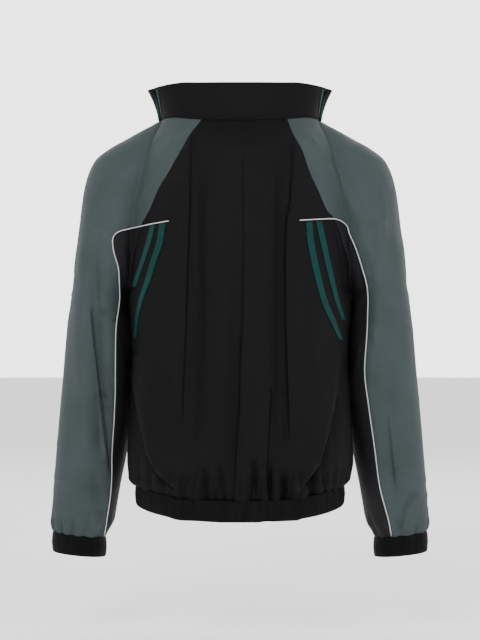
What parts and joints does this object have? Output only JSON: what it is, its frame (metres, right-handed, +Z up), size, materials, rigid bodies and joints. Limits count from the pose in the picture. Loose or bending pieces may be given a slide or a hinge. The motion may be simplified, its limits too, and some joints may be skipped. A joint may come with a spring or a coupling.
{
  "type": "track jacket",
  "caption": "Light raglan track jacket, filled out and hollow, with a stand collar, elastic hem and cuffs, sleeve piping, curved back tapes and a part-open front zip.",
  "frame": {"origin": "middle of the neck, level with the foot of the collar at the sides", "axes": "+Z up, +Y towards the zip, so the back faces -Y; +X towards the right-hand sleeve seen from behind"},
  "size_m": [0.6154, 0.2597, 0.7578],
  "materials": {
    "black_cloth": "smooth woven, slight sheen",
    "slate_cloth": "smooth woven, satin",
    "band_cloth": "matte elastic rib",
    "green_tape": "satin tape",
    "piping_cord": "satin",
    "zip_tape": "matte tape",
    "zip_metal": "satin"
  },
  "bodies": {
    "jacket": {"back_panel": "black_cloth", "hem_band": "band_cloth", "collar": "black_cloth", "front_left": "black_cloth", "sleeve_left": "slate_cloth", "under_sleeve_left": "black_cloth", "cuff_left": "band_cloth", "piping_left": "piping_cord", "zip_tape_left": "zip_tape", "collar_stripe_left_inner": "green_tape", "collar_stripe_left_outer": "green_tape", "front_right": "black_cloth", "sleeve_right": "slate_cloth", "under_sleeve_right": "black_cloth", "cuff_right": "band_cloth", "piping_right": "piping_cord", "zip_tape_right": "zip_tape", "collar_stripe_right_inner": "green_tape", "collar_stripe_right_outer": "green_tape", "back_stripe_left_inner": "green_tape", "back_stripe_left_outer": "green_tape", "back_stripe_right_inner": "green_tape", "back_stripe_right_outer": "green_tape", "slider": "zip_metal"},
    "pull_tab": {"pull_tab": "zip_metal"}
  },
  "joints": [
    {"name": "pull_tab_hinge", "type": "hinge", "parent": "jacket", "child": "pull_tab", "pos_m": [0, 0.1277, -0.229], "axis": [1, 0, 0], "range_deg": [0, 150]}
  ]
}
